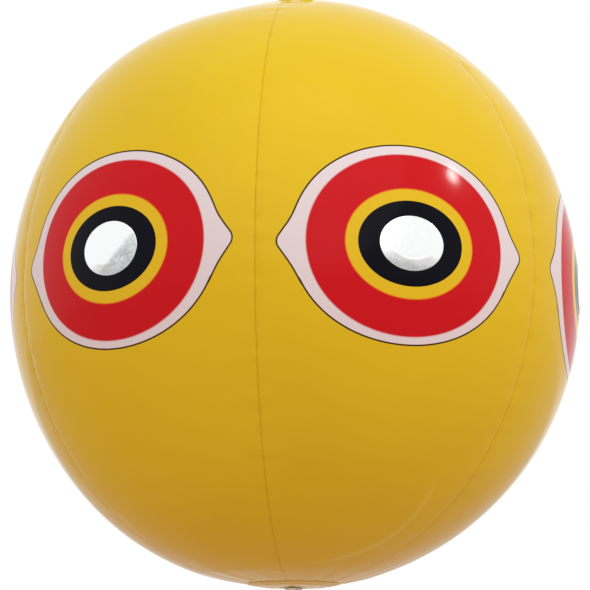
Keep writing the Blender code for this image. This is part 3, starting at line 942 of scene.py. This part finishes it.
def disc_profile(sizes, inner):
    """Half a disc's section from its outer face round to its inner one, with a weld ring between beads."""
    outer = sizes.disc_radius
    weld = outer - sizes.disc_weld
    over = sizes.disc_rise
    low = over - WELD_PRESS
    rim = over * (PRESSED_RIM if inner else STANDING_RIM)
    start = [(0.0, over)]
    if inner:
        start = [(inner, (SEAT + over) / 2), (inner, over - DISC_EDGE), (inner + DISC_EDGE, over)]
    # A point every 2 mm lets the flat face follow the ball
    stations = [r / 1000 for r in range(2, 24, 2) if inner + 0.0005 < r / 1000 < weld - 2 * BEAD_WIDTH]
    face = [(r, over) for r in stations]
    # Distances in bead widths, outwards from the weld's inner edge and then inwards from the disc's edge
    bead = ((-1, over), (-0.5, over + BEAD_HEIGHT), (0, over + BEAD_HEIGHT * 0.7), (0.5, low), (3, low))
    edge = ((5, low), (2, rim), (1.2, rim), (0.8, rim + BEAD_HEIGHT * 0.4), (0.25, rim))
    ring = [(weld + BEAD_WIDTH * widths, height) for widths, height in bead]
    ring += [(outer - BEAD_WIDTH * widths, height) for widths, height in edge]
    ring += [(outer, (SEAT + rim) / 2), (outer - 0.0001, SEAT)]
    back = [(r, SEAT) for r in (weld, *reversed(stations[::2]), inner)]
    return start + face + ring + back


def patch_profile(sizes):
    """The patch sits on the disc, with a pressed ring inside its rounded edge."""
    under = sizes.disc_rise + SEAT
    over = sizes.patch_rise
    radius = sizes.patch_radius
    corners = [(radius - 0.0026, over), (radius - 0.0022, over - PATCH_PRESS, 0.0003)]
    corners += [(radius - 0.0010, over - PATCH_PRESS, 0.0003), (radius - 0.0008, over, 0.0002)]
    corners += [(radius, over, 0.00035), (radius, under + 0.0001), (radius - 0.0001, under)]
    face = [(r / 1000, over) for r in range(13)]
    back = [(r / 1000, under) for r in range(12, -1, -3)]
    return face + rounded(corners) + back


class BALLOON_OT_discs(bpy.types.Operator):
    """Builds the discs that close the ball at its poles"""

    bl_idname = "balloon.discs"
    bl_label = "Pole discs"

    def execute(self, context):
        ball = Ball(context)
        film = finish_of(disc_film, context.scene.balloon_colours, ball.sizes)
        for name, inner, side in (("top_disc", 0.0, 1), ("bottom_disc", ball.sizes.disc_hole, -1)):
            bm = turned(disc_profile(ball.sizes, inner), DISC_STEPS)
            wrap_on_pole(bm, ball, side)
            disc = add_piece(name + "_film", bm, film, name, sharp=50)
            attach(disc, "balloon")
        return {"FINISHED"}


# Hang tab


TAB_HOLE_SIDES = 56
TAB_HEAD_STEPS = 40
TAB_FOOT_STEPS = 18
TAB_BORDER = 0.0016
TAB_BORDER_STEP = 0.00014
TAB_BORDER_SLOPE = 0.00025
TAB_HOLE_PLAY = 0.0001
TAB_FOOT_CUTS = 8
TAB_FOOT_CURVE = 2.5
TAB_FOOT_SINK = 0.00025
# An edge whose faces turn by more than this many radians is rounded
SQUARE_EDGE = 1.2


def tab_outline(tab):
    """The tab from the front, its round head about the eyelet and its foot line under the fold."""
    foot = FOLD.z - tab.thickness / 2
    half = tab.base_width / 2
    lean = math.degrees(math.asin(tab.head_radius / math.hypot(half, foot)))
    tangent = math.degrees(math.atan2(foot, half)) - lean + 90
    line = [(half * (2 * step / TAB_FOOT_STEPS - 1), foot) for step in range(TAB_FOOT_STEPS + 1)]
    return line + arc((0, 0), tab.head_radius, tangent, 180 - tangent, TAB_HEAD_STEPS)


def tab_bmesh(tab, ball):
    """A plate with a hole, whose edges are rounded and whose foot spreads out on the patch."""
    bm = bmesh.new()
    verts = [bm.verts.new((x, y, -tab.thickness / 2)) for x, y in tab_outline(tab)]
    for pair in zip(verts, verts[1:] + verts[:1]):
        bm.edges.new(pair)
    hole = bmesh.ops.create_circle(bm, segments=TAB_HOLE_SIDES, radius=tab.bore + tab.wall + TAB_HOLE_PLAY)
    bmesh.ops.translate(bm, verts=hole["verts"], vec=(0, 0, -tab.thickness / 2))
    bmesh.ops.triangle_fill(bm, use_beauty=True, use_dissolve=False, edges=bm.edges)
    thicken(bm, tab.thickness)
    bm.normal_update()
    inset = {"use_even_offset": True, "use_boundary": True}
    flats = [[face for face in bm.faces if face.normal.z * side > 0.9] for side in (1, -1)]
    for flat in flats:
        bmesh.ops.inset_region(bm, faces=flat, thickness=TAB_BORDER, depth=0, **inset)
        bmesh.ops.inset_region(bm, faces=flat, thickness=TAB_BORDER_SLOPE, depth=-TAB_BORDER_STEP, **inset)
    square = [e for e in bm.edges if e.is_manifold and e.calc_face_angle() > SQUARE_EDGE]
    bevelled(bm, [e for e in square if e.verts[0].co.length > tab.flange], tab.edge_round)
    foot = FOLD.z - tab.thickness / 2
    for step in range(1, TAB_FOOT_CUTS + 1):
        height = foot + tab.foot_height * (step / TAB_FOOT_CUTS) ** 1.3
        geometry = [*bm.verts, *bm.edges, *bm.faces]
        bmesh.ops.bisect_plane(bm, geom=geometry, dist=MERGE, plane_co=(0, height, 0), plane_no=(0, 1, 0))
    bmesh.ops.triangulate(bm, faces=bm.faces)
    pole_curve = ball.equator_radius**2 / ball.polar_radius
    for vertex in bm.verts:
        down = max(0.0, 1 - (vertex.co.y - foot) / tab.foot_height)
        vertex.co.z *= 1 + (tab.foot_spread / (tab.thickness / 2) - 1) * down**TAB_FOOT_CURVE
        drop = (vertex.co.x**2 + vertex.co.z**2) / (2 * pole_curve)
        vertex.co.y -= down * (drop + TAB_FOOT_SINK)
    quarter_turn(bm, "X")
    return bm


class BALLOON_OT_hang_tab(bpy.types.Operator):
    """Builds the round patch and the tab that stands on it"""

    bl_idname = "balloon.hang_tab"
    bl_label = "Hang tab"

    def execute(self, context):
        ball = Ball(context)
        colours = context.scene.balloon_colours
        bm = turned(patch_profile(ball.sizes), PATCH_STEPS)
        wrap_on_pole(bm, ball, 1)
        film = finish_of(disc_film, colours, ball.sizes)
        patch = add_piece("tab_patch", bm, film, "hang_tab_patch", sharp=50)
        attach(patch, "balloon")
        bm = tab_bmesh(plain_sizes(context.scene.balloon_tab), ball.sizes)
        pressed = finish_of(tab_film, colours)
        tab = add_piece("hang_tab_film", bm, pressed, "hang_tab", sharp=40)
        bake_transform(tab)
        return {"FINISHED"}


# Eyelet


def eyelet_profile(tab):
    """Height runs along the bore towards the front. The barrel's back end is rolled over the washer."""
    bore = tab.bore
    barrel = bore + tab.wall
    roll = barrel + tab.roll
    under = tab.thickness / 2
    front = under + GAP + tab.flange_thickness
    back = -(under + 2 * GAP + tab.washer_thickness + tab.roll_thickness)
    roll_front = back + tab.roll_thickness
    corners = [
        (bore, 0.0),
        (bore, front, 0.0009),
        (tab.flange - 0.0011, front, 0.0012),
        (tab.flange, front - 0.0007, 0.0003),
        (tab.flange, under, 0.0001),
        (barrel, under),
        (barrel, roll_front),
        (roll, roll_front, 0.00025),
        (roll, back, 0.0004),
        (bore, back, 0.0008),
        (bore, 0.0),
    ]
    return rounded(corners, 6)[:-1]


def washer_profile(tab):
    inner = tab.bore + tab.wall + 0.00005
    top = -tab.thickness / 2
    back = top - GAP - tab.washer_thickness
    middle = (inner, (top + back) / 2)
    corners = [
        middle,
        (inner, back, 0.0001),
        (tab.flange - 0.0010, back, 0.0010),
        (tab.flange, back + 0.0005, 0.0002),
        (tab.flange, top, 0.0001),
        (inner, top, 0.0001),
        middle,
    ]
    return rounded(corners, 5)[:-1]


class BALLOON_OT_eyelet(bpy.types.Operator):
    """Builds the pressed eyelet and its washer"""

    bl_idname = "balloon.eyelet"
    bl_label = "Eyelet"

    def execute(self, context):
        tab = plain_sizes(context.scene.balloon_tab)
        brass = finish_of(pressed_brass, context.scene.balloon_colours)
        for name, node, profile in (
            ("eyelet_barrel", "eyelet", eyelet_profile(tab)),
            ("eyelet_back_washer", "eyelet_washer", washer_profile(tab)),
        ):
            bm = turned(profile)
            quarter_turn(bm, "X")
            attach(add_piece(name, bm, brass, node), "hanger")
        return {"FINISHED"}


# Valve. Heights run inwards from the bottom disc's outer face, and its +X points to the back of the ball.


STEM_INSET = 0.0003
VALVE_MOUTH = Vector((0, 0, STEM_BOX[0].z - STEM_INSET))
WEB_STEPS = 20
WEB_START = 0.0011
WEB_FLARE = 1.6
# How far the web reaches into the flange and the stem's foot
WEB_LAP = 0.0001
# How far the strap reaches into the collar and the cap
STRAP_LAP = 0.0003
STRAP_BANDS = 4
STRAP_LONGEST = 0.002
LIP_ANGLE = 24
LIP_STEPS = (0.25, 0.5, 0.25)
LIP_THINNING = 0.35
LIP_NARROWING = 0.30
FLAP_STEPS = 56
FLAP_EDGE_ROUND = 0.00015


def seated(bm):
    """Brings a piece from the valve's own axes to its place."""
    quarter_turn(bm, "Z")
    bmesh.ops.translate(bm, verts=bm.verts, vec=VALVE_MOUTH)
    bmesh.ops.recalc_face_normals(bm, faces=bm.faces)
    return bm


def add_valve_piece(context, name, bm, node, sharp=35.0):
    vinyl = finish_of(moulded_vinyl, context.scene.balloon_colours)
    return add_piece(name, bm, vinyl, node, sharp)


def flange_profile(valve):
    """The flange as rises over the ball: it lies under the disc, with a rounded lip in the disc's hole."""
    hole = valve.flange_hole
    outer = valve.flange_radius
    under = -valve.flange_thickness
    lip = hole + 0.0008
    lip_rise = 0.00042
    corners = [
        (hole + 0.0004, under),
        (hole, under, 0.0002),
        (hole, lip_rise, 0.0003),
        (lip, lip_rise, 0.0002),
        (lip, 0.0),
        (outer, 0.0, 0.0002),
        (outer, under * 0.6, 0.0003),
        (outer - 0.002, under),
    ]
    return rounded(corners)


def foot_radius(valve):
    """The rim at the stem's inner end, whose outer wall the web is joined to."""
    return valve.stem_radius + valve.web + GAP


def web_profile(valve):
    """The web that rolls inside out as the stem is pulled. It flares from the stem's foot to the flange."""
    end = STEM_INSET + valve.stem_length - valve.foot_height / 2
    wide = valve.flange_hole + WEB_LAP
    narrow = foot_radius(valve) + valve.web / 2 - WEB_LAP
    outside = []
    inside = []
    for step in range(WEB_STEPS + 1):
        part = step / WEB_STEPS
        middle = narrow + (wide - narrow) * (1 - part) ** WEB_FLARE
        height = WEB_START + (end - WEB_START) * part
        outside.append((middle + valve.web / 2, height))
        inside.append((middle - valve.web / 2, height))
    return outside + inside[::-1]


def stem_profile(valve):
    bore = valve.stem_bore
    outer = valve.stem_radius
    collar = outer + valve.collar_width
    collar_top = STEM_INSET + valve.collar_height
    end = STEM_INSET + valve.stem_length
    foot = end - valve.foot_height
    rim = foot_radius(valve)
    corners = [
        (bore, end / 2),
        (bore, STEM_INSET, 0.0004),
        (collar, STEM_INSET, 0.0004),
        (collar, collar_top, 0.0003),
        (outer, collar_top, 0.0002),
        (outer, foot, 0.0001),
        (rim, foot, 0.0001),
        (rim, end, 0.0002),
        (bore, end, 0.0002),
        (bore, end / 2),
    ]
    return rounded(corners)[:-1]


def plug_profile(valve):
    """The dished cap, and the shank with a bead that holds it in the stem."""
    cap = valve.cap_radius
    face = -valve.cap_thickness
    dish = face + valve.cap_dish
    tip = valve.shank_length
    shank = valve.stem_bore - GAP
    corners = [
        (0.0, dish),
        (cap - 0.0022, dish, 0.0010),
        (cap - 0.0012, face, 0.0005),
        (cap, face, 0.0004),
        (cap, 0.0, 0.00025),
        (shank + 0.0004, 0.0),
        (shank, 0.0004, 0.0002),
        (shank, tip * 0.55),
        (shank + 0.00015, tip * 0.66, 0.0002),
        (shank, tip * 0.77),
        (shank - 0.0009, tip, 0.0005),
        (0.0, tip),
    ]
    return rounded(corners)


def plug_bmesh(valve):
    """The plug, with the finger lip drawn out of its cap's rim on the side away from the strap."""
    bm = turned(plug_profile(valve))
    middle = -valve.cap_thickness / 2
    nearest = -valve.cap_radius * 0.985 * math.cos(math.radians(LIP_ANGLE))
    rim = []
    for face in bm.faces:
        x, y, z = face.calc_center_median()
        if x < nearest and abs(y) < valve.lip_width / 2 and abs(z - middle) < valve.cap_thickness * 0.4:
            rim.append(face)
    for part in LIP_STEPS:
        result = bmesh.ops.extrude_face_region(bm, geom=rim)
        bmesh.ops.delete(bm, geom=rim, context="FACES")
        rim = drawn(result, bmesh.types.BMFace)
        verts = drawn(result, bmesh.types.BMVert)
        bmesh.ops.translate(bm, verts=verts, vec=(-valve.lip_length * part, 0, 0))
    for vertex in bm.verts:
        out = (-vertex.co.x - valve.cap_radius) / valve.lip_length
        if out > 0:
            vertex.co.z = middle + (vertex.co.z - middle) * (1 - LIP_THINNING * out)
            vertex.co.y *= 1 - LIP_NARROWING * out**3
    return bm


def strap_legs(valve):
    """Heights of the strap's leg on the stem and of its leg on the plug."""
    outer_leg = -valve.cap_thickness + valve.strap_thickness / 2 + 0.0002
    return outer_leg + valve.strap_thickness + GAP, outer_leg


def strap_path(valve):
    """The strap's middle line as (x, height): from the collar past the disc, out and back to the cap."""
    inner_leg, outer_leg = strap_legs(valve)
    collar = valve.stem_radius + valve.collar_width
    fold = (inner_leg - outer_leg) / 2
    root = STEM_INSET + valve.collar_height / 2
    tip = valve.strap_reach - valve.strap_thickness / 2 - fold
    riser = collar + 0.0012
    line = [(collar - STRAP_LAP, root), (riser, root, 0.0005), (riser, inner_leg, 0.0005), (tip, inner_leg)]
    loop = arc((tip, outer_leg + fold), fold, 90, -90, 8)
    return rounded(line, 6) + loop[1:] + [(valve.cap_radius - STRAP_LAP, outer_leg)]


def strap_bmesh(valve):
    bm = bmesh.new()
    half = valve.strap_width / 2
    verts = [bm.verts.new((x, -half, z)) for x, z in strap_path(valve)]
    edges = [bm.edges.new(pair) for pair in zip(verts, verts[1:])]
    bmesh.ops.subdivide_edges(bm, edges=[e for e in edges if e.calc_length() > STRAP_LONGEST], cuts=6)
    for step in range(STRAP_BANDS):
        last = half * (2 * step / STRAP_BANDS - 1) - TOLERANCE
        across = [e for e in bm.edges if all(v.co.y > last for v in e.verts)]
        result = bmesh.ops.extrude_edge_only(bm, edges=across)
        stride = (0, valve.strap_width / STRAP_BANDS, 0)
        bmesh.ops.translate(bm, verts=drawn(result, bmesh.types.BMVert), vec=stride)
    bmesh.ops.recalc_face_normals(bm, faces=bm.faces)
    # The path is the middle of the band, whose thickness grows inwards from here
    bm.normal_update()
    for vertex in bm.verts:
        vertex.co += vertex.normal * valve.strap_thickness / 2
    bmesh.ops.solidify(bm, geom=bm.faces, thickness=valve.strap_thickness)
    return bm


def flap_bmesh(valve):
    """A disc on a short tongue, whose end is the line it turns about."""
    bm = bmesh.new()
    half = valve.flap_hinge / 2
    root = math.degrees(math.asin(half / valve.flap_radius))
    rim = arc((valve.stem_radius, 0), valve.flap_radius, root - 180, 180 - root, FLAP_STEPS)
    outline = [(0, half), (0, -half)] + rim
    bm.faces.new([bm.verts.new((x, y, -valve.flap_thickness / 2)) for x, y in outline])
    thicken(bm, valve.flap_thickness)
    level = [e for e in bm.edges if abs(e.verts[0].co.z - e.verts[1].co.z) < TOLERANCE]
    bevelled(bm, level, FLAP_EDGE_ROUND)
    bmesh.ops.translate(bm, verts=bm.verts, vec=(-valve.stem_radius, 0, FLAP_PIVOT.z - VALVE_MOUTH.z))
    return bm


class BALLOON_OT_valve_body(bpy.types.Operator):
    """Builds the valve's flange, rolling web and stem"""

    bl_idname = "balloon.valve_body"
    bl_label = "Valve body"

    def execute(self, context):
        ball = Ball(context)
        valve = plain_sizes(context.scene.balloon_valve)
        bm = turned(flange_profile(valve))
        wrap_on_pole(bm, ball, -1)
        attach(add_valve_piece(context, "valve_flange_ring", bm, "valve_flange"), "balloon")
        bm = seated(turned(stem_profile(valve)))
        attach(add_valve_piece(context, "valve_stem_tube", bm, "valve_stem"), "valve_stem")
        bm = seated(turned(web_profile(valve)))
        web = add_valve_piece(context, "valve_rolling_web", bm, "valve_web", sharp=60)
        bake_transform(web)
        return {"FINISHED"}


class BALLOON_OT_valve_closure(bpy.types.Operator):
    """Builds the plug, its strap and the check flap"""

    bl_idname = "balloon.valve_closure"
    bl_label = "Valve closure"

    def execute(self, context):
        valve = plain_sizes(context.scene.balloon_valve)
        bm = seated(plug_bmesh(valve))
        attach(add_valve_piece(context, "valve_plug_cap", bm, "valve_plug"), "valve_plug")
        bm = seated(flap_bmesh(valve))
        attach(add_valve_piece(context, "valve_check_flap", bm, "check_flap"), "check_flap")
        bm = seated(strap_bmesh(valve))
        strap = add_valve_piece(context, "plug_strap_band", bm, "plug_strap")
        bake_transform(strap)
        return {"FINISHED"}


# Stage


PHOTO_WIDTH = 590
PHOTO_FOCAL = 2772.0
SENSOR_WIDTH = 36.0
# Each lamp's azimuth, elevation and softness in degrees, and its strength
LAMPS = {"sky_lamp": (10, 38, 75, 0.85), "key_lamp": (81.8, 32.7, 4, 0.55)}


class BALLOON_OT_stage(bpy.types.Operator):
    """Sets up the camera, the lamps, the floor and the white background"""

    bl_idname = "balloon.stage"
    bl_label = "Stage"

    def execute(self, context):
        scene = context.scene
        sizes = scene.balloon_stage
        scene.view_settings.view_transform = "Standard"
        self.add_camera(scene, sizes)
        for name, (azimuth, elevation, softness, strength) in LAMPS.items():
            lamp = link(name, bpy.data.lights.new(name, "SUN"))
            lamp.data.angle = math.radians(softness)
            lamp.data.energy = strength
            source = towards(math.radians(azimuth), math.radians(elevation))
            lamp.rotation_euler = source.to_track_quat("Z", "Y").to_euler()
        self.paint_world(scene, sizes)
        self.add_floor(sizes)
        return {"FINISHED"}

    def add_camera(self, scene, sizes):
        camera = link("camera", bpy.data.cameras.new("camera"))
        back = towards(sizes.camera_azimuth, sizes.camera_elevation)
        camera.location = BALL_CENTRE + back * sizes.camera_distance
        aim = BALL_CENTRE - Vector((0, 0, sizes.camera_drop)) - camera.location
        level = aim.to_track_quat("-Z", "Y").to_matrix()
        camera.rotation_euler = (level @ Matrix.Rotation(sizes.camera_roll, 3, "Z")).to_euler()
        camera.data.sensor_width = SENSOR_WIDTH
        camera.data.lens = PHOTO_FOCAL / PHOTO_WIDTH * SENSOR_WIDTH
        camera.data.clip_start = 0.05
        scene.camera = camera

    def paint_world(self, scene, sizes):
        """White for the camera and in reflections, and plain light for the shading."""
        scene.world = bpy.data.worlds.new("white_studio")
        scene.world.use_nodes = True
        nodes = Nodes(scene.world.node_tree)
        light = nodes.add("Background", inputs={"Color": sizes.ambient})
        white = nodes.add("Background", inputs={"Color": (1, 1, 1)})
        inputs = {0: nodes.seen_plainly(), 1: light.outputs[0], 2: white.outputs[0]}
        mixed = nodes.add("MixShader", inputs=inputs)
        nodes.feed(nodes.tree.nodes["World Output"].inputs["Surface"], mixed.outputs[0])

    def add_floor(self, sizes):
        bm = bmesh.new()
        bmesh.ops.create_grid(bm, x_segments=1, y_segments=1, size=sizes.floor_reach)
        bmesh.ops.translate(bm, verts=bm.verts, vec=(0, 0, -sizes.floor_drop))
        mesh = bpy.data.meshes.new("floor")
        bm.to_mesh(mesh)
        bm.free()
        paint = bpy.data.materials.new("floor_paint")
        paint.use_nodes = True
        nodes = Nodes(paint.node_tree)
        nodes.tree.nodes.remove(nodes.tree.nodes["Principled BSDF"])
        tone = nodes.mix(nodes.seen_plainly(), sizes.floor_bounce, sizes.floor)
        shade = nodes.add("BsdfDiffuse", inputs={"Color": tone})
        nodes.feed(nodes.tree.nodes["Material Output"].inputs["Surface"], shade.outputs[0])
        mesh.materials.append(paint)
        link("floor", mesh)


# Panel and registration


GROUPS = {
    "balloon_ball": BallSizes,
    "balloon_eye": EyeSizes,
    "balloon_colours": BalloonColours,
    "balloon_tab": TabSizes,
    "balloon_valve": ValveSizes,
    "balloon_stage": StageSizes,
}
STEPS = (
    BALLOON_OT_stage,
    BALLOON_OT_gores,
    BALLOON_OT_pupils,
    BALLOON_OT_discs,
    BALLOON_OT_hang_tab,
    BALLOON_OT_eyelet,
    BALLOON_OT_valve_body,
    BALLOON_OT_valve_closure,
)


class BALLOON_PT_panel(bpy.types.Panel):
    """Lists the balloon's sizes, colours and building steps"""

    bl_label = "Bird scare balloon"
    bl_space_type = "VIEW_3D"
    bl_region_type = "UI"
    bl_category = "Balloon"

    def draw(self, context):
        for step in STEPS:
            self.layout.operator(step.bl_idname)
        for name in GROUPS:
            group = getattr(context.scene, name)
            box = self.layout.box()
            box.label(text=group.bl_rna.name)
            for prop in vars(plain_sizes(group)):
                box.prop(group, prop)


def register():
    for group in GROUPS.values():
        bpy.utils.register_class(group)
    for name, group in GROUPS.items():
        setattr(bpy.types.Scene, name, PointerProperty(type=group))
    for step in STEPS:
        bpy.utils.register_class(step)
    bpy.utils.register_class(BALLOON_PT_panel)


def unregister():
    bpy.utils.unregister_class(BALLOON_PT_panel)
    for step in reversed(STEPS):
        bpy.utils.unregister_class(step)
    for name in GROUPS:
        delattr(bpy.types.Scene, name)
    for group in reversed(GROUPS.values()):
        bpy.utils.unregister_class(group)


def main():
    register()
    for step in STEPS:
        module, name = step.bl_idname.split(".")
        getattr(getattr(bpy.ops, module), name)()


if __name__ == "__main__":
    main()
